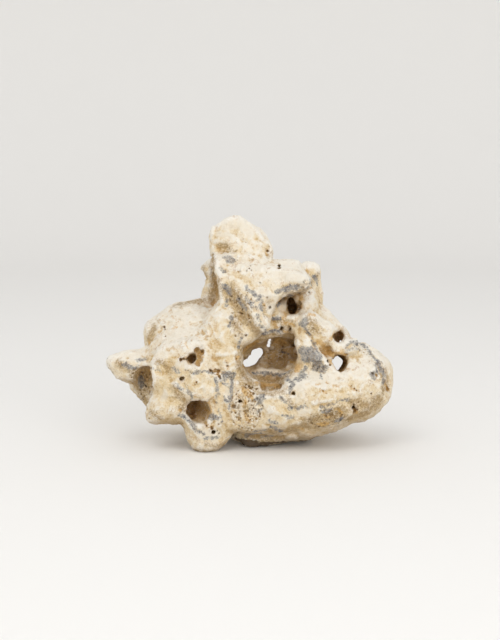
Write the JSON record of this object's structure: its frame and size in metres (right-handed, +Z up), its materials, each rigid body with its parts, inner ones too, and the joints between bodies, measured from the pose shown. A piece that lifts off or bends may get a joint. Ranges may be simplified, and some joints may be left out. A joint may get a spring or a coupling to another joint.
{
  "type": "limestone rock",
  "caption": "Waterworn limestone rock with a tall knob, an overhanging brow, a horn at one end, a cave that breaks through to the back, and borings all over; it rests on small flat feet.",
  "frame": {"origin": "on the surface that the stone rests on, under the middle of its bounding box", "axes": "+Z up, +X to the right of someone who looks at the front, towards the large round lobe; the front, with the open cave, faces -Y"},
  "size_m": [0.2368, 0.119, 0.1906],
  "materials": {
    "limestone": "matt, rough and pitted; pale cream where it faces up, ochre to brown in the hollows, with thin blue-grey stains"
  },
  "bodies": {
    "root": {"limestone_rock": "limestone"}
  },
  "joints": []
}
